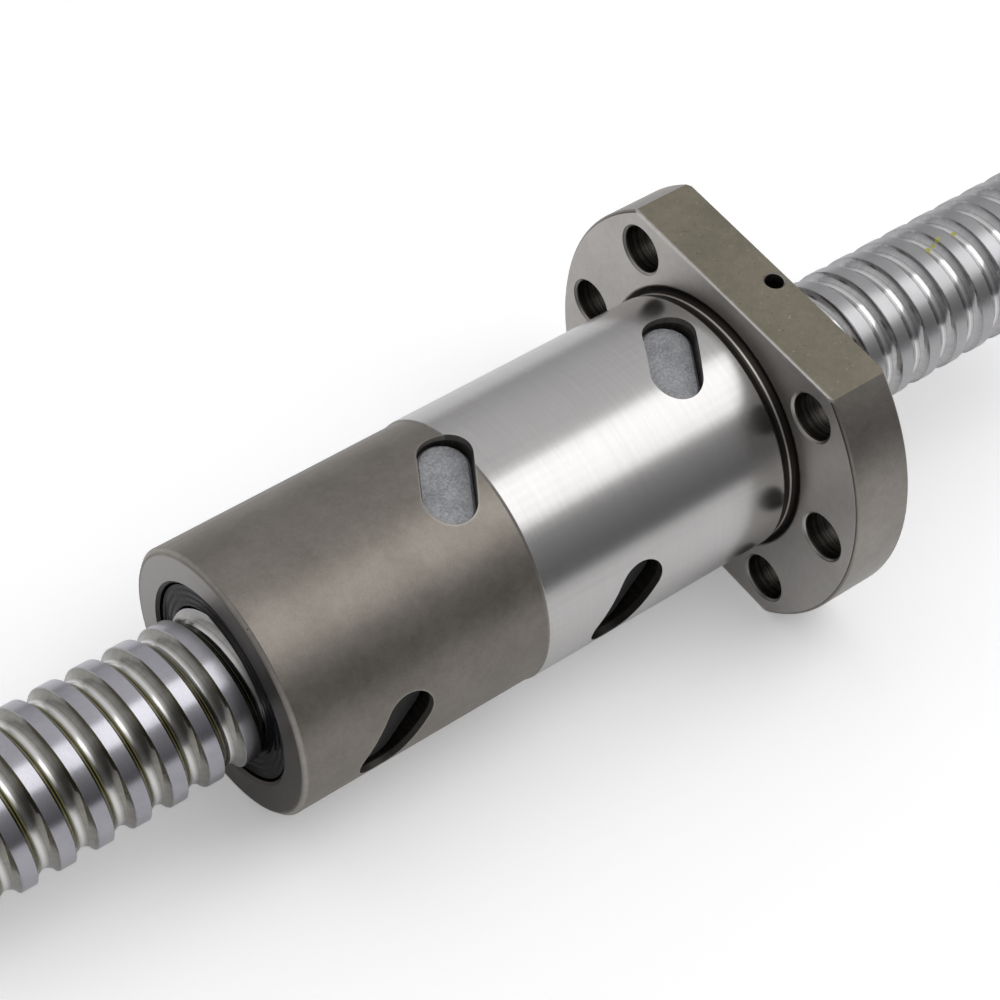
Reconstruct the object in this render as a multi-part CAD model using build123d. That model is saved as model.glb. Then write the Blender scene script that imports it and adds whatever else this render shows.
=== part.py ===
from build123d import *
import math
import os

# A flanged ball screw nut on the screw it runs on, in millimetres.
# The nut is one long steel body. Tilted obround slots through its wall hold the deflectors,
# each of which lifts one turn of balls over a land of the screw and back to its start.
# The finished model lies along X, with the flange's mounting face at X = 0, the free end at
# -X and the flange's flats level. The shapes are made along Z and turned at the end.

# Ball track, with the lands of the screw and the nut set off by the same step from its circle
lead = 5.0
ball_circle = 20.75
ball_diameter = 3.0
track_radius = 1.66
arch_offset = 0.06
land_step = 0.525

# Screw
screw_turns = 38
screw_past_free_end = 43.4
screw_end_chamfer = 1.0

# Nut body, whose tail is a little thinner than its ground register, and whose seam runs
# between the rows of slots
body_wall = 7.1
body_seam = 45.0
tail_step = 0.2
body_length = 75.6
ground_length = 40.1
step_chamfer = 0.3
tail_chamfer = 0.55
mouth_chamfer = 0.4

# Relief between the ground body and the flange
relief_width = 2.1
relief_depth = 0.4
relief_floor = 0.5
relief_in_face = 0.3
relief_reach = 0.7

# Flange, with the same metal inside and outside its bolt holes
flange_thickness = 9.0
flange_chamfer = 0.4
flat_rise = 4.0
bolt_hole = 6.6
bolt_edge = 2.2
bolt_spacing = 45.0
bolt_chamfer = 0.3

# Oil port in the top flat, and the slanted passage from its foot to the ball track
port_diameter = 2.5
port_chamfer = 0.2
port_from_back = 1.7
port_depth = 4.0
passage_diameter = 1.2
passage_from_seat = 3.3

# Deflectors: groups of circuits, set off round the body by equal steps
groups = 2
circuits = 4
first_deflector = 13.3
last_deflector_margin = 11.0
first_angle = 180.0
slot_length = 13.4
slot_width = 6.8
slot_tilt = 31.5
deflector_fit = 0.05
deflector_recess = 2.6
deflector_edge = 0.4
screw_clearance = 0.3
ball_lift_clearance = 0.1
crossing_half_angle = 30.0
channel_half_angle = 54.0
channel_spans = 18
ball_spacing = 0.1
circuit_samples = 1440

# Wipers in the two mouths
wiper_shoulder = 2.35
free_wiper_length = 3.6
free_wiper_recess = 0.6
flange_wiper_length = 3.0
flange_wiper_recess = 0.4
wiper_end_gap = 0.1
wiper_fit = 0.05
wiper_running_fit = 0.1
wiper_track_clearance = 0.25
wiper_edge = 0.3

ball_radius = ball_diameter / 2
pitch_radius = ball_circle / 2
screw_radius = pitch_radius - land_step
land_radius = pitch_radius + land_step
ground_radius = land_radius + body_wall
tail_radius = ground_radius - tail_step
bolt_circle_radius = ground_radius + bolt_edge + bolt_hole / 2
flange_radius = bolt_circle_radius + bolt_hole / 2 + bolt_edge
half_flats = ground_radius + flat_rise
seat_radius = land_radius + wiper_shoulder
free_seat_depth = free_wiper_recess + free_wiper_length + wiper_end_gap
flange_seat_depth = flange_wiper_recess + flange_wiper_length + wiper_end_gap
seat_floor = flange_thickness - flange_seat_depth
circuit_step = lead * (1 + 1 / circuits)
group_length = circuit_step * (circuits - 1)
group_room = body_length + seat_floor - first_deflector - group_length - last_deflector_margin
group_step = lead * math.floor(group_room / (groups - 1) / lead)
through = 1.0

# Local Z becomes X, local X becomes Y and local Y becomes Z
lengthwise = Plane(origin=(0, 0, 0), x_dir=(0, 1, 0), z_dir=(1, 0, 0)).location


def turned(points):
    """A solid of revolution about Z, from a closed outline of (radius, height) points."""
    return revolve(Plane.XZ * make_face(Polyline(*points, close=True)), Axis.Z)


def tube(outer, inner, low, high):
    """A plain ring between two heights."""
    return turned([(inner, low), (outer, low), (outer, high), (inner, high)])


def track_profile(radius, side):
    """Half of a gothic arch about the ball circle: side -1 is the screw's half, 1 the nut's."""
    start = math.asin(arch_offset / radius)

    def wall(angle, hand):
        across = hand * (radius * math.sin(angle) - arch_offset)
        return Vector(pitch_radius + side * radius * math.cos(angle), 0, across)

    middle = (start + math.pi / 2) / 2
    left = ThreePointArc(wall(math.pi / 2, -1), wall(middle, -1), wall(start, -1))
    right = ThreePointArc(wall(start, 1), wall(middle, 1), wall(math.pi / 2, 1))
    mouth = Line(wall(math.pi / 2, 1), wall(math.pi / 2, -1))
    return Face(Wire([left.edge(), right.edge(), mouth.edge()]))


def track_pieces(profile, low, high):
    """Half turns of the ball track that cover the heights from low to high."""
    half = lead / 2
    helix = Helix(pitch=lead, height=half, radius=pitch_radius)
    piece = Solid.sweep(profile, path=Wire([helix.edge()]), is_frenet=True)
    first = math.floor((low - track_radius) / half) - 1
    last = math.ceil((high + track_radius) / half)
    return [piece.moved(Location((0, 0, half * n), (0, 0, 180 * n))) for n in range(first, last + 1)]


def stacked(pieces, length):
    """One solid from pieces that stand on each other, each with the same flat ends."""
    faces = []
    for number, piece in enumerate(pieces):
        base = Location((0, 0, length * number))
        for face in piece.faces():
            height = face.center().Z
            flat = face.geom_type == GeomType.PLANE
            joint_below = flat and abs(height) < 1e-4 and number > 0
            joint_above = flat and abs(height - length) < 1e-4 and number < len(pieces) - 1
            if not joint_below and not joint_above:
                faces.append(face.moved(base))
    return Solid(Shell(faces))


def track_turn(start):
    """The turn that brings a thread made at Z = 0 to a start height. Its floor then passes the
    first deflector's angle half a lead above that deflector."""
    height = -body_length + first_deflector + lead / 2
    return first_angle - 360 * (height - start) / lead


def placed_thread(thread, start):
    """A thread made at Z = 0, moved to a start height in step with all the others."""
    return thread.moved(Location((0, 0, start), (0, 0, track_turn(start))))


def grooved_turn(radius, profile):
    """One lead of a cylinder with the ball track cut into it."""
    blank = Solid.make_cylinder(radius, lead)
    return blank.cut(*track_pieces(profile, 0, lead)).solid()


def ball_screw():
    """The screw, made as equal turns with a bevel on the first and the last."""
    plain = grooved_turn(screw_radius, track_profile(track_radius, -1))
    ring = Solid.make_cylinder(screw_radius + through, screw_end_chamfer)
    cone = Solid.make_cone(screw_radius - screw_end_chamfer, screw_radius, screw_end_chamfer)
    bevel = ring.cut(cone)
    low_end = plain.cut(bevel).solid()
    high_bevel = bevel.moved(Location((0, 0, lead), (180, 0, 0)))
    high_end = plain.cut(high_bevel).solid()
    screw = stacked([low_end] + [plain] * (screw_turns - 2) + [high_end], lead)
    return placed_thread(screw, -body_length - screw_past_free_end)


def nut_track_core(low, high):
    """What the nut's bore and ball track take out of the body."""
    turns = math.ceil((high - low) / lead)
    slab = Solid.make_cylinder(pitch_radius + track_radius + through, lead)
    ridges = []
    for piece in track_pieces(track_profile(track_radius, 1), 0, lead):
        within = piece.intersect(slab)
        if within:
            ridges += within.solids() if hasattr(within, "solids") else within
    core = Solid.make_cylinder(land_radius, lead).fuse(*ridges).solid()
    return placed_thread(stacked([core] * turns, lead), low)


def deflector_places():
    """Each deflector's name, height and angle round the axis."""
    places = []
    for group in range(groups):
        for circuit in range(circuits):
            height = -body_length + first_deflector + group * group_step + circuit * circuit_step
            angle = (first_angle + circuit * 360 / circuits) % 360
            places.append((f"{'ab'[group]}{circuit + 1}", height, angle))
    return places


def obround(length, width, low, high):
    """An obround prism along local X, from radius low to high, tilted against the helix."""
    outline = Plane.YZ * Rot(0, 0, -slot_tilt) * SlotOverall(length, width)
    return Pos(low, 0, 0) * extrude(outline, high - low, dir=(1, 0, 0))


def at_deflector(shape, height, angle):
    """A shape made at angle 0 and height 0, moved to a deflector's place."""
    return Location((0, 0, height), (0, 0, angle)) * shape


def nut_blank():
    """The body and flange with their seats, before the track and the cross holes."""
    groove_start = -relief_width + relief_depth
    outline = [
        (0, -body_length),
        (tail_radius - tail_chamfer, -body_length),
        (tail_radius, -body_length + tail_chamfer),
        (tail_radius, -ground_length),
        (ground_radius, -ground_length + step_chamfer),
        (ground_radius, -relief_width),
        (ground_radius - relief_depth, groove_start),
        (ground_radius - relief_depth, groove_start + relief_floor),
        (ground_radius, relief_in_face),
        (ground_radius + relief_reach, 0),
        (flange_radius - flange_chamfer, 0),
        (flange_radius, flange_chamfer),
        (flange_radius, flange_thickness - flange_chamfer),
        (flange_radius - flange_chamfer, flange_thickness),
        (0, flange_thickness),
    ]
    flats = Pos(0, 0, -body_length) * extrude(
        Rectangle(4 * flange_radius, 2 * half_flats), body_length + flange_thickness
    )
    body = Rot(0, 0, body_seam) * turned(outline) & flats
    for end, inward, depth in (
        (-body_length, 1, free_seat_depth),
        (flange_thickness, -1, flange_seat_depth),
    ):
        mouth = end - inward * through
        body -= tube(seat_radius, 0, *sorted((mouth, end + inward * depth)))
        body -= turned(
            [
                (0, end),
                (seat_radius + mouth_chamfer, end),
                (seat_radius, end + inward * mouth_chamfer),
                (0, end + inward * mouth_chamfer),
            ]
        )
    return body


def bolt_places():
    """Two bolts beside the body and four at the corners, clear of the flats."""
    return [
        Rot(0, 0, side + step * bolt_spacing) * Pos(bolt_circle_radius, 0, 0)
        for side in (0, 180)
        for step in (-1, 0, 1)
    ]


def chamfered_drill(diameter, edge, depth):
    """A drill with a countersink at both ends, standing on Z = 0."""
    radius = diameter / 2
    return turned(
        [
            (0, 0),
            (radius + edge, 0),
            (radius, edge),
            (radius, depth - edge),
            (radius + edge, depth),
            (0, depth),
        ]
    )


def oil_port():
    """A countersunk hole in the top flat, and a narrower one from its foot to the ball track."""
    radius = port_diameter / 2
    foot = half_flats - port_depth
    place = flange_thickness - port_from_back
    outline = [
        (0, foot),
        (radius, foot),
        (radius, half_flats - port_chamfer),
        (radius + port_chamfer, half_flats),
        (radius + port_chamfer, half_flats + through),
        (0, half_flats + through),
    ]
    port = Pos(0, 0, place) * Rot(-90, 0, 0) * turned(outline)
    start = Vector(0, foot + passage_diameter / 4, place)
    run = Vector(0, land_radius - through, seat_floor - passage_from_seat) - start
    passage = Solid.make_cylinder(passage_diameter / 2, run.length, Plane(origin=start, z_dir=run))
    return port + passage


def nut_body():
    body = nut_blank()
    body -= nut_track_core(-body_length + free_seat_depth - through, seat_floor + through)
    for _, height, angle in deflector_places():
        slot = obround(slot_length, slot_width, pitch_radius - ball_radius, ground_radius + through)
        body -= at_deflector(slot, height, angle)
    drill = chamfered_drill(bolt_hole, bolt_chamfer, flange_thickness)
    body -= [place * drill for place in bolt_places()]
    body -= oil_port()
    return body.solid()


def track_point(turn):
    """A ball centre's cylindrical place (radius, angle, height) over a deflector at angle 0 and
    height 0. Turn runs from 0 to 1 round the circuit, with the crossing in the middle."""
    angle = 360 * turn - 180
    on_helix = lead * (turn - 0.5) - math.copysign(lead / 2, angle)
    if abs(angle) >= crossing_half_angle:
        return pitch_radius, angle, on_helix
    share = angle / crossing_half_angle
    reach = lead / 2 - lead * crossing_half_angle / 360
    height = -reach * (3 * share - share**3) / 2
    groove_height = lead * angle / 360
    off_groove = min(abs(height - groove_height - side * lead / 2) for side in (-1, 1))
    rolling = ball_radius + ball_lift_clearance
    half_mouth = math.sqrt(track_radius**2 - (pitch_radius - screw_radius) ** 2) - arch_offset
    short_of_land = max(0, half_mouth - off_groove)
    lifted = screw_radius + math.sqrt(max(0, rolling**2 - short_of_land**2))
    return max(pitch_radius, lifted), angle, height


def as_vector(place):
    radius, angle, height = place
    turn = math.radians(angle)
    return Vector(radius * math.cos(turn), radius * math.sin(turn), height)


def crossing_path():
    """The ball path through a deflector, with a stretch of the helix at each end."""
    spread = channel_half_angle / 360
    shares = [2 * n / channel_spans - 1 for n in range(channel_spans + 1)]
    return Spline(*[as_vector(track_point(0.5 + spread * share)) for share in shares])


def deflector():
    top = ground_radius - deflector_recess
    block = obround(slot_length - 2 * deflector_fit, slot_width - 2 * deflector_fit, 0, top)
    block = chamfer(block.faces().sort_by(Axis.X)[-1].edges(), deflector_edge)
    bore = Cylinder(screw_radius + screw_clearance, 2 * slot_length)
    path = crossing_path()
    start = Plane(origin=path @ 0, z_dir=path % 0)
    channel = sweep(start * Circle(track_radius), path=path)
    return (block - bore - channel).solid()


def ball_circuit():
    """One circuit's balls, evenly spaced along its closed path."""
    points = [as_vector(track_point(n / circuit_samples)) for n in range(circuit_samples + 1)]
    run = [0.0]
    for here, there in zip(points, points[1:]):
        run.append(run[-1] + (there - here).length)
    count = math.floor(run[-1] / (ball_diameter + ball_spacing))
    balls = []
    sample = 0
    for number in range(count):
        target = run[-1] * (number + 0.5) / count
        while run[sample + 1] < target:
            sample += 1
        balls.append(Solid.make_sphere(ball_radius, angle1=-90).moved(Location(points[sample])))
    return Compound(balls)


def wiper_ring(outer, inner, low, high):
    """A ring between two radii and two heights, with its four edges bevelled."""
    return turned(
        [
            (inner, low + wiper_edge),
            (inner + wiper_edge, low),
            (outer - wiper_edge, low),
            (outer, low + wiper_edge),
            (outer, high - wiper_edge),
            (outer - wiper_edge, high),
            (inner + wiper_edge, high),
            (inner, high - wiper_edge),
        ]
    )


def free_end_wiper():
    """A ring whose inner ridge follows the screw's groove."""
    low = -body_length + free_wiper_recess
    bore = screw_radius + wiper_track_clearance
    ring = wiper_ring(seat_radius - wiper_fit, bore / 2, low, low + free_wiper_length)
    profile = track_profile(track_radius - wiper_track_clearance, -1)
    turns = math.ceil(free_wiper_length / lead) + 2
    core = stacked([grooved_turn(bore, profile)] * turns, lead)
    return (ring - placed_thread(core, low - lead)).solid()


def flange_end_wiper():
    """A plain ring that clears the screw and can turn in its seat."""
    high = flange_thickness - flange_wiper_recess
    outer = seat_radius - wiper_running_fit
    return wiper_ring(outer, screw_radius + screw_clearance, high - flange_wiper_length, high)


def write(name, shape):
    export_step(shape.moved(lengthwise), f"parts/{name}.step")


def main():
    os.makedirs("parts", exist_ok=True)
    write("nut_body", nut_body())
    write("ball_screw", ball_screw())
    write("wiper_free_end", free_end_wiper())
    write("wiper_flange_end", flange_end_wiper())
    one_deflector = deflector()
    one_circuit = ball_circuit()
    for name, height, angle in deflector_places():
        write(f"deflector_{name}", at_deflector(one_deflector, height, angle))
        write(f"balls_{name}", at_deflector(one_circuit, height, angle))


main()
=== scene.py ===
import math
from types import SimpleNamespace

import bpy
from mathutils import Matrix, Vector

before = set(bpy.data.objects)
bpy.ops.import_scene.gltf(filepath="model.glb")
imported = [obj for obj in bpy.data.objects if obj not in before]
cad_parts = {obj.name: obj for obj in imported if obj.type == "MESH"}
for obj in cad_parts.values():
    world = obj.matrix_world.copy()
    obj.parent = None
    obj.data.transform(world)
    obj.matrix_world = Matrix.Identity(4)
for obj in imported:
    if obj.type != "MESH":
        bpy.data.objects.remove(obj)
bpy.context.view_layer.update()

# Sizes of the nut that its finishes follow, in millimetres
FREE_END = -75.6
TAIL_FROM = -40.1
TAIL_RADIUS = 17.8
GROUND_RADIUS = 18.0
RELIEF_GROOVE = (-2.1, 0.4)
# Places of the relief groove's steps along the axis, where painted highlight lines lie, each with its
# width
RELIEF_HIGHLIGHT_STEPS = ((-1.95, 0.22), (-0.75, 0.2))
FLANGE_THICKNESS = 9.0
FLANGE_RADIUS = 29.0
HALF_FLATS = 22.0
PORT_AT = 7.3
PORT_RADIUS = 1.25

# Slots of the deflectors, in millimetres and degrees, with the place and angle of each in one group
SLOTS = ((-62.3, 180), (-56.05, 270), (-49.8, 0), (-43.55, 90))
SLOT_REPEAT = 35.0
SLOT_HALF_WIDTH = 3.4
SLOT_HALF_LENGTH = 6.7
SLOT_TILT = 31.5
NO_SLOT_BEFORE = -73.3
ON_NO_SLOT = 50

# Sizes and places on the screw that its finishes follow, in millimetres
SCREW_ENDS = (-119.0, 71.0)
LEAD = 5.0
GROOVE_AT = -59.8
GROOVE_HALF_WIDTH = 1.515
OILY_UP_TO = (-84, -64)
# Span across the screw, in millimetres, of the painted shade in the oily grooves on its −Y side
SHADED_SIDE_SPAN = (-7.2, -3.9)

# Step between the rings on the wipers' lips, in millimetres
LIP_STEP = 0.42

# Bands across the screw's groove, each with its place from the middle and its width
# A painted highlight runs along each groove in this band
GROOVE_HIGHLIGHT_BAND = (-0.1, 0.75)
DRAWN_LINES = ((0.0, 0.10), (0.62, 0.07))
FILM_LINES = ((-1.08, 0.2), (-0.62, 0.15))
UNDER_FILM_FROM_TO = (-1.4, -0.5)

# Oil drops near the flange, each with its place and its radius
OIL_DROPS = (
    ((38.9, 0.9, 8.9), 0.52),
    ((39.7, 0.9, 9.1), 0.36),
    ((40.3, 0.95, 9.8), 0.44),
    ((40.9, 1.2, 9.8), 0.3),
    ((44.0, 1.2, 8.85), 0.46),
)

# Colours of the nut's steel, in pairs from stained to clean; some carry painted shade and painted
# highlights, as said at each
TAIL_STEEL = (0.186, 0.169, 0.147), (0.268, 0.246, 0.216)
REGISTER_STEEL = (0.500, 0.490, 0.481), (0.560, 0.550, 0.540)
MOUNTING_FACE = (0.420, 0.403, 0.384), (0.530, 0.510, 0.488)
FAR_FACE = (0.40, 0.382, 0.362), (0.52, 0.50, 0.478)
FLANGE_RIM = (0.215, 0.198, 0.179), (0.315, 0.292, 0.266)
FLANGE_FLAT = (0.198, 0.180, 0.138), (0.280, 0.254, 0.196)
# The free end's face, from painted shade on its −Y, lower side to painted light on its +Y, upper side
FREE_END_SHADE_TO_LIGHT = (0.100, 0.093, 0.085), (0.330, 0.316, 0.298)
# The relief groove, painted shade on its floor and painted highlights on its steps and chamfer
RELIEF_SHADE_AND_HIGHLIGHT = (0.036, 0.032, 0.028), (0.62, 0.58, 0.54)
# Bores, holes and slot walls: painted shade, lighter along the machined rings
HOLLOW_SHADE_AND_RINGS = (0.050, 0.046, 0.040), (0.26, 0.245, 0.225)
# Painted highlight on the chamfered mouths of the holes
HOLE_MOUTH_HIGHLIGHT = (0.46, 0.44, 0.41)
# Painted highlight on the chamfered edges, partly handling wear
EDGE_HIGHLIGHT_AND_WEAR = (0.62, 0.60, 0.57)
DARK_NICK = (0.08, 0.07, 0.06)
PALE_SPECK = (0.55, 0.53, 0.48)

# Colours of the screw's steel, in pairs from dark to light, of the oil on it, and of the painted highlight
# and painted shade in its grooves
DRY_LAND = (0.37, 0.37, 0.375), (0.45, 0.45, 0.455)
WET_LAND = (0.345, 0.34, 0.375), (0.46, 0.455, 0.49)
DRY_GROOVE = (0.38, 0.377, 0.382), (0.55, 0.546, 0.552)
WET_GROOVE = (0.22, 0.21, 0.185), (0.35, 0.34, 0.312)
TURNED_END = (0.36, 0.355, 0.35), (0.50, 0.495, 0.49)
# Painted highlight along the middle of each groove
GROOVE_HIGHLIGHT = (0.84, 0.835, 0.82)
DRAWN_DARK = (0.10, 0.096, 0.088)
# Painted shade, standing in for a dark reflection, in the oily grooves on the screw's −Y side
GROOVE_SHADE = (0.045, 0.042, 0.033)
UNDER_FILM = (0.085, 0.080, 0.040)
OIL_FILM = (0.235, 0.215, 0.065)
OIL_DROP = (0.40, 0.40, 0.06)

# Colours of the wipers, deflectors and balls, in pairs from dark to light
BLACK_PLASTIC = (0.003, 0.003, 0.004), (0.012, 0.012, 0.015)
CAST_GREY = (0.19, 0.195, 0.205), (0.56, 0.565, 0.585)
# Near black, on the deflectors in the slots that face −Y and −Z
NEAR_BLACK_CAST = (0.012, 0.011, 0.010)
BALL_GREY = (0.62, 0.62, 0.62), (0.80, 0.80, 0.81)

# Camera, fitted to the corners and holes of the object
CAMERA_PLACE = (-0.177691, -0.145080, 0.263729)
CAMERA_RIGHT = (0.789307, -0.606107, 0.098122)
CAMERA_UP = (0.431597, 0.661362, 0.613453)
CAMERA_BACK = (-0.436713, -0.441854, 0.783612)
CAMERA_LENS = 96.16
CAMERA_SENSOR = 36.0

# The object lies on the foot of its flange and on the rim of its free end, in metres
FLOOR_UNDER_FLANGE = (0.0, -0.022)
FLOOR_UNDER_FREE_END = (-0.0756, -0.0178)
FLOOR_SIZE = 6.0

# The paper's colours, and how far off it turns to plain white, in millimetres
FLOOR_PALER = (250, 900)
PAPER_WHITE = (0.93, 0.93, 0.935), (0.95, 0.95, 0.955)

# Shades of the room, from the floor on the camera's side to overhead
ROOM_SHADES = (
    (0.0, (0.13, 0.13, 0.135)),
    (0.4, (0.29, 0.29, 0.295)),
    (0.7, (0.54, 0.54, 0.55)),
    (1.0, (0.72, 0.72, 0.73)),
)

# Where the lamps point, in metres
BODY_MIDDLE = (-0.03, 0, 0)


class Value:
    """A socket of a shader that takes part in sums as a number does."""

    def __init__(self, tree, socket=None):
        self.tree = tree
        self.socket = socket

    def node(self, kind, settings=None, inputs=None, output=0):
        made = self.tree.nodes.new(kind)
        for name, setting in (settings or {}).items():
            if name == "stops":
                ramp = made.color_ramp.elements
                while len(ramp) < len(setting):
                    ramp.new(0.5)
                for stop, (place, colour) in zip(ramp, setting):
                    stop.position = place
                    stop.color = (*colour, 1.0)
            else:
                setattr(made, name, setting)
        for name, value in (inputs or {}).items():
            target = made.inputs[name]
            if isinstance(value, Value):
                self.tree.links.new(value.socket, target)
            elif target.type == "RGBA" and len(value) == 3:
                target.default_value = (*value, 1.0)
            else:
                target.default_value = value
        return Value(self.tree, made.outputs[output])

    def maths(self, operation, first, second=0.0, third=0.0):
        return self.node("ShaderNodeMath", {"operation": operation}, {0: first, 1: second, 2: third})

    def __add__(self, other):
        return self.maths("ADD", self, other)

    __radd__ = __add__

    def __sub__(self, other):
        return self.maths("SUBTRACT", self, other)

    def __rsub__(self, other):
        return self.maths("SUBTRACT", other, self)

    def __mul__(self, other):
        return self.maths("MULTIPLY", self, other)

    __rmul__ = __mul__

    def __truediv__(self, other):
        return self.maths("DIVIDE", self, other)

    def __pow__(self, other):
        return self.maths("POWER", self, other)

    def __abs__(self):
        return self.maths("ABSOLUTE", self)

    def smaller(self, other):
        return self.maths("MINIMUM", self, other)

    def larger(self, other):
        return self.maths("MAXIMUM", self, other)

    def rise(self, low, high):
        """0 below low, 1 above high, and smooth between them."""
        return self.node(
            "ShaderNodeMapRange",
            {"interpolation_type": "SMOOTHSTEP"},
            {"Value": self, "From Min": low, "From Max": high},
        )

    def near(self, place, width):
        """1 at a place, fading to 0 at a width from it."""
        return 1 - abs(self - place).rise(0, width)

    def between(self, low, high, soft):
        """1 from low to high and 0 outside, each side softened by a width."""
        return self.rise(low - soft, low + soft) * (1 - self.rise(high - soft, high + soft))

    def mixed(self, low, high):
        """The colour low where this is 0, and high where it is 1."""
        return self.node("ShaderNodeMix", {"data_type": "RGBA"}, {0: self, 6: low, 7: high}, output=2)

    def stretched(self, scale):
        return self.node("ShaderNodeVectorMath", {"operation": "MULTIPLY"}, {0: self, 1: scale})

    def grain(self, scale, detail=3.0, rough=0.5):
        """Noise from 0 to 1 over this vector, its grains one part in scale of a unit wide."""
        return self.node(
            "ShaderNodeTexNoise",
            {"noise_dimensions": "3D"},
            {"Vector": self, "Scale": scale, "Detail": detail, "Roughness": rough},
        )

    def bands(self, detail, rough=0.5):
        """Noise from 0 to 1 over this number, its bands about one unit wide."""
        return self.node(
            "ShaderNodeTexNoise",
            {"noise_dimensions": "1D"},
            {"W": self, "Scale": 1.0, "Detail": detail, "Roughness": rough},
        )


def largest(values):
    """The largest of several values at each point."""
    top = None
    for value in values:
        top = top.larger(value) if top else value
    return top


class Finish:
    """A material on one shader, with its surface's place in millimetres."""

    def __init__(self, name, **sockets):
        self.material = bpy.data.materials.new(name)
        self.material.use_nodes = True
        self.tree = self.material.node_tree
        self.shader = self.tree.nodes["Principled BSDF"]
        start = Value(self.tree)
        place = start.node("ShaderNodeTexCoord", output="Object")
        self.place = place.stretched((1000, 1000, 1000))
        self.x, self.y, self.z = (
            self.place.node("ShaderNodeSeparateXYZ", inputs={0: self.place}, output=n) for n in range(3)
        )
        self.radius = (self.y * self.y + self.z * self.z) ** 0.5
        self.feed(**sockets)

    def feed(self, **sockets):
        for name, value in sockets.items():
            target = self.shader.inputs[name.replace("_", " ").title().replace("Ior", "IOR")]
            if isinstance(value, Value):
                self.tree.links.new(value.socket, target)
            elif target.type == "RGBA":
                target.default_value = (*value, 1.0)
            else:
                target.default_value = value

    def relief(self, height, depth):
        """Raises the surface by height, from 0 to 1, times a depth in millimetres."""
        bump = height.node(
            "ShaderNodeBump", inputs={"Height": height, "Strength": 1.0, "Distance": depth / 1000}
        )
        self.feed(normal=bump)

    def spot(self, centre, radius):
        """1 within a radius of a point, with a soft edge."""
        off = self.place.node(
            "ShaderNodeVectorMath", {"operation": "DISTANCE"}, {0: self.place, 1: centre}, output=1
        )
        return 1 - off.rise(radius * 0.75, radius)

    def turn(self):
        """The angle round the object's axis from -0.5 to 0.5 of a turn."""
        return self.y.maths("ARCTAN2", self.z, self.y) / (2 * math.pi)

    def put_on(self, *objects):
        for each in objects:
            each.data.materials.clear()
            each.data.materials.append(self.material)


def nut_faces(steel):
    """Masks, each of them 1 on one of the nut's faces."""
    x, radius = steel.x, steel.radius
    outside = radius.rise(TAIL_RADIUS - 0.9, TAIL_RADIUS - 0.7)
    flange = x.rise(0.1, 0.3)
    flat = abs(steel.z).rise(HALF_FLATS - 0.05, HALF_FLATS - 0.01) * flange
    ground = radius.rise(GROUND_RADIUS - 0.1, GROUND_RADIUS)
    by_relief = radius.between(GROUND_RADIUS - 1.0, GROUND_RADIUS + 0.7, 0.1)
    return SimpleNamespace(
        outside=outside,
        tail=(1 - x.rise(TAIL_FROM - 0.02, TAIL_FROM + 0.22)) * outside,
        end=(1 - x.rise(FREE_END, FREE_END + 0.05)) * (1 - outside),
        register=x.between(TAIL_FROM + 0.1, RELIEF_GROOVE[0], 0.1) * ground,
        relief=x.between(*RELIEF_GROOVE, 0.1) * by_relief,
        flange=flange,
        face=x.near(0, 0.06) * radius.rise(GROUND_RADIUS + 0.6, GROUND_RADIUS + 0.75),
        back=x.rise(FLANGE_THICKNESS - 0.1, FLANGE_THICKNESS - 0.03),
        flat=flat,
        rim=radius.rise(FLANGE_RADIUS - 0.6, FLANGE_RADIUS - 0.35) * flange * (1 - flat),
    )


def from_slots(steel):
    """How far each point of the body's outside is from the nearest slot's edge."""
    nearest = None
    slant = math.radians(SLOT_TILT)
    for first, angle in SLOTS:
        turn = math.radians(angle)
        from_slot = steel.x - first
        along = from_slot.maths("WRAP", from_slot, SLOT_REPEAT / 2, -SLOT_REPEAT / 2)
        round_body = steel.z * math.cos(turn) - steel.y * math.sin(turn)
        facing = (steel.y * math.cos(turn) + steel.z * math.sin(turn)).rise(9, 10)
        lengthwise = round_body * math.cos(slant) - along * math.sin(slant)
        widthwise = round_body * math.sin(slant) + along * math.cos(slant)
        past = (abs(lengthwise) - (SLOT_HALF_LENGTH - SLOT_HALF_WIDTH)).larger(0.0)
        off = (past * past + widthwise * widthwise) ** 0.5 - SLOT_HALF_WIDTH
        off = off + (1 - facing) * ON_NO_SLOT
        nearest = nearest.smaller(off) if nearest else off
    return nearest + (1 - steel.x.rise(NO_SLOT_BEFORE - 0.1, NO_SLOT_BEFORE)) * ON_NO_SLOT


def nut_edges(steel, on):
    """Masks, each of them 1 along a chamfered edge that gets a painted highlight and some handling wear.
    """
    x, radius = steel.x, steel.radius
    return SimpleNamespace(
        slot=from_slots(steel).near(0.0, 0.3) * on.outside * (1 - x.rise(-1.2, -1.1)),
        step=x.near(TAIL_FROM + 0.2, 0.3) * on.outside,
        end=x.near(FREE_END + 0.3, 0.35) * radius.rise(TAIL_RADIUS - 0.7, TAIL_RADIUS - 0.4),
        flat=x.near(0.1, 0.45) * abs(steel.z).rise(HALF_FLATS - 0.4, HALF_FLATS - 0.2),
    )


def hole_mouth_highlights(steel):
    """Painted highlights on the mouths of the bolt holes and of the oil port."""
    off_port = steel.x - PORT_AT
    from_port = (off_port * off_port + steel.y * steel.y) ** 0.5
    port = from_port.near(PORT_RADIUS + 0.05, 0.24) * steel.z.rise(HALF_FLATS - 1.7, HALF_FLATS - 0.6)
    bolts = steel.radius.between(GROUND_RADIUS + 1, FLANGE_RADIUS - 1.5, 0.2)
    return (steel.x.between(0.05, 0.5, 0.15) * bolts).larger(port)


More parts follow.
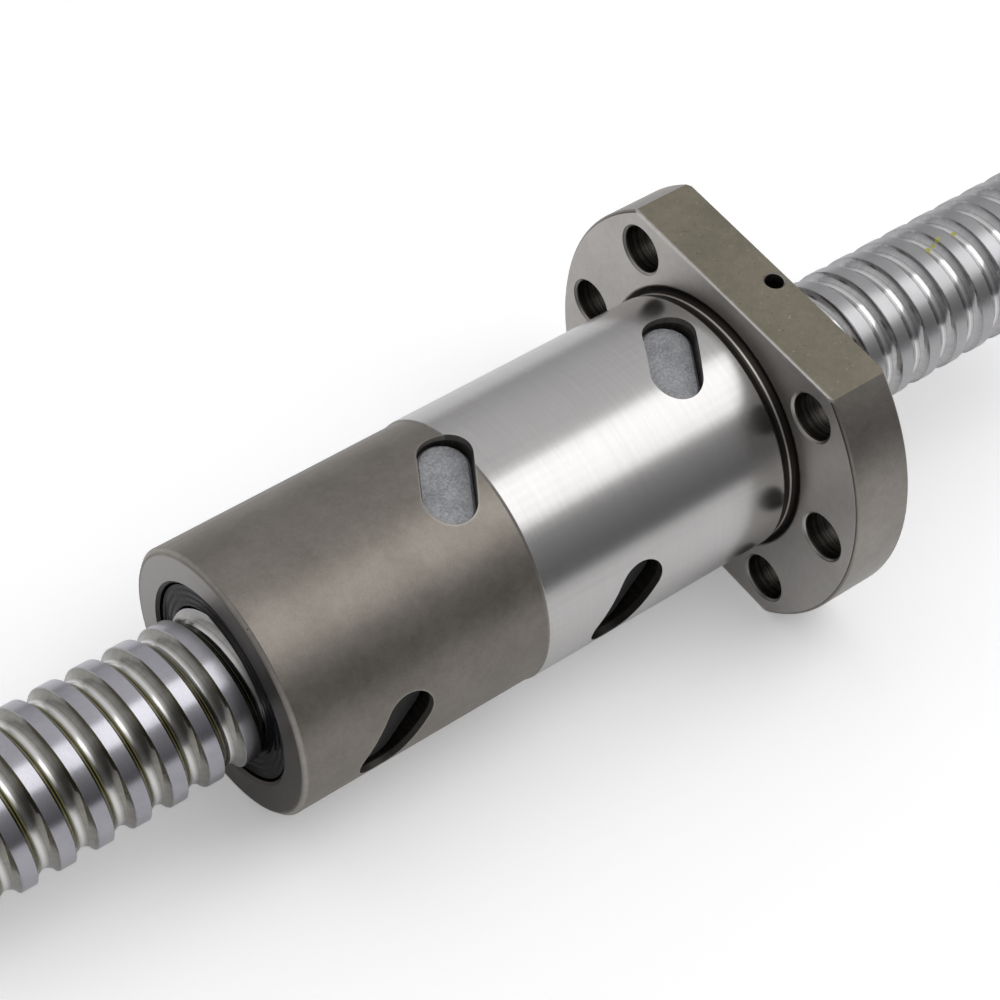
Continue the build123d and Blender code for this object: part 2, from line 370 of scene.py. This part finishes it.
def nut_steel():
    """Ground register, dark satin tail, and a flange with olive flats and a dull rim."""
    steel = Finish("nut_steel", metallic=1.0)
    x, radius, place = steel.x, steel.radius, steel.place
    on = nut_faces(steel)
    edge = nut_edges(steel, on)

    cloud = place.grain(0.12, 5, 0.6)
    mottle = place.grain(0.9, 4, 0.65)
    fine = place.grain(7.0, 3, 0.6)
    turning = place.stretched((16, 0.25, 0.25)).grain(1.0, 4, 0.7)
    broad_turning = place.stretched((1.6, 0.06, 0.06)).grain(1.0, 3, 0.6)
    rings = (x * 2.4 + mottle).bands(2.0)

    # Painted shade inside the bores, holes and slots, lightened along the machined rings
    hollow_rings_in_shade = rings.rise(0.35, 0.65) * (on.flange * 0.45 + 0.1) + fine.rise(0.5, 0.8) * 0.45
    # Painted highlights on the hole mouths, over the painted shade of the bores
    colour = (hole_mouth_highlights(steel) * 0.8).mixed(hollow_rings_in_shade.mixed(*HOLLOW_SHADE_AND_RINGS), HOLE_MOUTH_HIGHLIGHT)
    soiled = (cloud * 0.4 + mottle * 0.25 + fine * 0.35).rise(0.33, 0.67)
    for where, colours in (
        (on.tail, TAIL_STEEL),
        (on.face, MOUNTING_FACE),
        (on.back, FAR_FACE),
        (on.rim, FLANGE_RIM),
        (on.flat, FLANGE_FLAT),
    ):
        colour = where.mixed(colour, soiled.mixed(*colours))
    ground = (turning * 0.35 + broad_turning * 0.4 + cloud * 0.25).rise(0.25, 0.75)
    colour = on.register.mixed(colour, ground.mixed(*REGISTER_STEEL))
    # Painted light on the free end's face: lighter towards +Y and up, darker towards −Y and down, broken
    # up by the stains
    painted_light_upwards = (steel.y * 1.4 + steel.z * 0.6 + soiled * 6).rise(-24, 30)
    colour = on.end.mixed(colour, painted_light_upwards.mixed(*FREE_END_SHADE_TO_LIGHT))
    # Painted shade in the relief groove, with painted highlight lines on its steps and on the chamfer of
    # the flange face
    relief_highlights = largest(x.near(*step) for step in RELIEF_HIGHLIGHT_STEPS).larger(radius.near(GROUND_RADIUS + 0.62, 0.11))
    colour = on.relief.mixed(colour, relief_highlights.mixed(*RELIEF_SHADE_AND_HIGHLIGHT))

    # Painted highlights along the slot, step, end and flat edges, partly handling wear, patchy with the
    # mottle
    wear_and_edge_highlight = (edge.step * 0.45 + edge.end * 0.42 + edge.flat * 1.3 + edge.slot * 0.3) * (mottle * 0.7 + 0.3)
    colour = wear_and_edge_highlight.smaller(1.0).mixed(colour, EDGE_HIGHLIGHT_AND_WEAR)
    specks = place.grain(2.2, 2, 0.4)
    nicks = (edge.end * mottle.rise(0.68, 0.72)).larger(on.flat * specks.rise(0.70, 0.74) * 0.5)
    colour = nicks.mixed(colour, DARK_NICK)
    colour = (on.flat * (1 - specks.rise(0.25, 0.30)) * 0.35).mixed(colour, PALE_SPECK)

    rough = (
        0.36
        - on.register * (0.14 - turning * 0.03)
        + on.tail * (mottle * 0.06 + 0.045)
        + on.face * 0.02
        + (fine - 0.5) * 0.06
    )
    steel.feed(base_color=colour, roughness=rough)
    inner = 1 - largest((on.tail, on.register, on.face, on.back, on.rim, on.flat))
    height = (
        turning * (on.register * 0.04 + on.tail * 0.06)
        + fine * 0.22
        + rings * inner * (on.flange * 1.2 + 0.2)
    )
    steel.relief(height, 0.010)
    return steel


def across_groove(steel):
    """How far along the screw each point is from the middle of its groove."""
    along = steel.x - GROOVE_AT - (steel.turn() - 0.5) * LEAD
    return along.maths("WRAP", along, LEAD / 2, -LEAD / 2)


def screw_steel():
    """A ground thread with satin lands, a painted highlight along each groove, and oil on the free end's
    side.
    """
    steel = Finish("screw_steel")
    place, x = steel.place, steel.x
    across = across_groove(steel)
    off_middle = abs(across)

    on_land = off_middle.rise(GROOVE_HALF_WIDTH - 0.12, GROOVE_HALF_WIDTH + 0.02)
    on_ends = 1 - x.between(SCREW_ENDS[0] + 0.08, SCREW_ENDS[1] - 0.08, 0.04)
    oily = 1 - x.rise(*OILY_UP_TO)

    cloud = place.grain(0.18, 4, 0.6)
    streaks = place.stretched((0.35, 1.2, 1.2)).grain(1.0, 4, 0.6)
    fine = place.grain(8.0, 3, 0.6)
    lines = (across * 9 + cloud * 0.3).bands(3.0, 0.7)

    wear_and_edge_highlight = (fine * 0.4 + cloud * 0.6).rise(0.3, 0.7)
    land = oily.mixed(wear_and_edge_highlight.mixed(*DRY_LAND), wear_and_edge_highlight.mixed(*WET_LAND))
    ground = (lines * 0.6 + streaks * 0.4).rise(0.3, 0.7)
    groove = oily.mixed(ground.mixed(*DRY_GROOVE), ground.mixed(*WET_GROOVE))
    colour = on_land.mixed(groove, land)
    drawn_lines = largest(off_middle.near(*line) for line in DRAWN_LINES)
    colour = (drawn_lines * (0.5 - oily * 0.3)).mixed(colour, DRAWN_DARK)
    # Painted highlight along each groove, near its middle
    colour = (across.near(*GROOVE_HIGHLIGHT_BAND) * 0.85).mixed(colour, GROOVE_HIGHLIGHT)

    # Painted shade in the oily grooves on the screw's −Y side, standing in for a dark reflection
    painted_shade_side = steel.y.between(*SHADED_SIDE_SPAN, 1.2)
    colour = (painted_shade_side * oily * (1 - on_land) * 0.75).mixed(colour, GROOVE_SHADE)
    under_film = across.between(*UNDER_FILM_FROM_TO, 0.1) * oily
    colour = (under_film * 0.6).mixed(colour, UNDER_FILM)
    film = largest(across.near(*line) for line in FILM_LINES)
    patches = place.grain(0.16, 3, 0.6).rise(0.3, 0.6)
    oiled = (film * (oily + 0.02) * (patches * 0.4 + 0.6)).smaller(0.9)
    colour = oiled.mixed(colour, OIL_FILM)
    drops = largest(steel.spot(*drop) for drop in OIL_DROPS)
    colour = drops.mixed(colour, OIL_DROP)

    turned = (steel.radius * 3.0 + cloud).maths("FRACT", steel.radius * 3.0 + cloud)
    colour = on_ends.mixed(colour, (turned * 0.5 + fine * 0.5).mixed(*TURNED_END))
    wet = oiled.larger(drops) * (1 - on_ends)
    rough = (
        0.18
        + on_land * 0.15
        + oily * (0.05 - on_land * 0.17)
        + (fine - 0.5) * 0.06
        + (lines - 0.5) * 0.04
    )
    steel.feed(
        base_color=colour,
        roughness=rough,
        metallic=1 - wet * 0.75,
        coat_weight=wet * 0.6,
        coat_roughness=0.08,
    )
    steel.relief(lines * 0.25 + fine * 0.3 * on_land, 0.006)
    return steel


def wiper_plastic():
    """Black moulded plastic with ringed lips, wet with oil."""
    plastic = Finish("wiper_plastic", metallic=0.0, specular_ior_level=0.05)
    flow = plastic.place.grain(0.5, 4, 0.6)
    fine = plastic.place.grain(5.0, 3, 0.5)
    lips = plastic.radius.maths("PINGPONG", plastic.radius + flow * 0.3, LIP_STEP) / LIP_STEP
    plastic.feed(
        base_color=(flow * 0.6 + fine * 0.4).mixed(*BLACK_PLASTIC),
        roughness=0.10 + flow * 0.14,
    )
    plastic.relief(lips * 0.8 + flow * 0.15 + fine * 0.05, 0.07)
    return plastic


def deflector_metal():
    """A moulded metal, grainy and dull, near black in the slots that face −Y and −Z."""
    metal = Finish("deflector_metal")
    pits = metal.place.grain(2.6, 5, 0.7)
    cloud = metal.place.grain(0.5, 4, 0.6)
    speckle = metal.place.grain(10.0, 2, 0.5)
    grey = (pits * 0.55 + cloud * 0.25 + speckle * 0.2).rise(0.3, 0.72).mixed(*CAST_GREY)
    # Darker in the slots that face −Y and −Z
    in_low_slots = (1 - metal.z.rise(6, 10)) * (1 - metal.y.rise(0, 6))
    metal.feed(
        base_color=(in_low_slots * 0.94).mixed(grey, NEAR_BLACK_CAST),
        metallic=0.35,
        roughness=0.55 + pits * 0.2,
    )
    metal.relief(pits * 0.7 + speckle * 0.3, 0.16)
    return metal


def ball_steel():
    """Polished ball steel with a trace of oil."""
    steel = Finish("ball_steel", metallic=1.0)
    film = steel.place.grain(0.9, 3, 0.5)
    steel.feed(base_color=film.mixed(*BALL_GREY), roughness=0.06 + film * 0.06)
    steel.relief(film, 0.004)
    return steel


def floor_slope():
    (x_one, z_one), (x_two, z_two) = FLOOR_UNDER_FREE_END, FLOOR_UNDER_FLANGE
    return (z_two - z_one) / (x_two - x_one)


def paper_floor():
    """A white sheet under the object, tilted as the object rests on it, and whiter far away."""
    bpy.ops.mesh.primitive_plane_add(size=FLOOR_SIZE)
    floor = bpy.context.object
    floor.name = "paper_floor"
    under_flange = Matrix.Translation((0, 0, FLOOR_UNDER_FLANGE[1]))
    floor.matrix_world = under_flange @ Matrix.Rotation(-math.atan(floor_slope()), 4, "Y")
    paper = Finish("floor_paper", roughness=0.6, specular_ior_level=0.25, emission_strength=1.0)
    tooth = paper.place.grain(0.8, 4, 0.6)
    seen = paper.place.node("ShaderNodeLightPath", output="Is Camera Ray")
    mirrored = paper.place.node("ShaderNodeLightPath", output="Is Glossy Ray")
    far = ((paper.x * paper.x + paper.y * paper.y) ** 0.5).rise(*FLOOR_PALER)
    glow = seen * (far * 0.6 + 0.25) + mirrored * 0.06
    paper.feed(
        base_color=tooth.mixed(*PAPER_WHITE),
        emission_color=glow.mixed((0, 0, 0), (1, 1, 1)),
    )
    paper.put_on(floor)


def soft_box(name, place, size, power):
    """A lamp that faces the body's middle, its second side square to the object's axis."""
    lamp = bpy.data.lights.new(name, "AREA")
    lamp.shape = "RECTANGLE"
    lamp.size, lamp.size_y = size
    lamp.energy = power
    box = bpy.data.objects.new(name, lamp)
    bpy.context.scene.collection.objects.link(box)
    back = (Vector(place) - Vector(BODY_MIDDLE)).normalized()
    side = back.cross(Vector((1, 0, 0))).normalized()
    turned = Matrix((side.cross(back), side, back)).transposed()
    box.matrix_world = Matrix.Translation(place) @ turned.to_4x4()
    return box


def studio():
    """A room that is pale overhead and dark on the camera's side, and two lamps above."""
    world = bpy.data.worlds.new("studio")
    bpy.context.scene.world = world
    world.use_nodes = True
    tree = world.node_tree
    start = Value(tree)
    direction = start.node("ShaderNodeTexCoord", output="Generated")
    away, up = (
        start.node("ShaderNodeSeparateXYZ", inputs={0: direction}, output=n) for n in (1, 2)
    )
    height = (up + away * 0.45 + 0.3) / 1.3
    shade = start.node("ShaderNodeValToRGB", {"stops": ROOM_SHADES}, {0: height})
    seen = start.node("ShaderNodeLightPath", output="Is Camera Ray")
    colour = seen.mixed(shade, (1, 1, 1))
    tree.links.new(colour.socket, tree.nodes["Background"].inputs["Color"])
    soft_box("long_box", place=(0.246, -0.146, 0.514), size=(0.70, 0.43), power=1.24)
    sheet_light = soft_box("sheet_light", place=(-0.10, 0.22, 0.50), size=(0.50, 0.30), power=0.25)
    sheet_light.visible_glossy = False


def photo_camera():
    data = bpy.data.cameras.new("camera")
    data.lens, data.sensor_width = CAMERA_LENS, CAMERA_SENSOR
    data.clip_start, data.clip_end = 0.01, 20.0
    camera = bpy.data.objects.new("camera", data)
    bpy.context.scene.collection.objects.link(camera)
    turned = Matrix((CAMERA_RIGHT, CAMERA_UP, CAMERA_BACK)).transposed()
    camera.matrix_world = Matrix.Translation(CAMERA_PLACE) @ turned.to_4x4()
    bpy.context.scene.camera = camera


def main():
    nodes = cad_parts
    nut_steel().put_on(nodes["nut_body"])
    screw_steel().put_on(nodes["ball_screw"])
    wiper_plastic().put_on(nodes["wiper_free_end"], nodes["wiper_flange_end"])
    deflector_metal().put_on(*(o for n, o in nodes.items() if n.startswith("deflector")))
    ball_steel().put_on(*(o for n, o in nodes.items() if n.startswith("balls")))
    paper_floor()
    studio()
    photo_camera()
    bpy.context.scene.view_settings.view_transform = "Standard"


main()
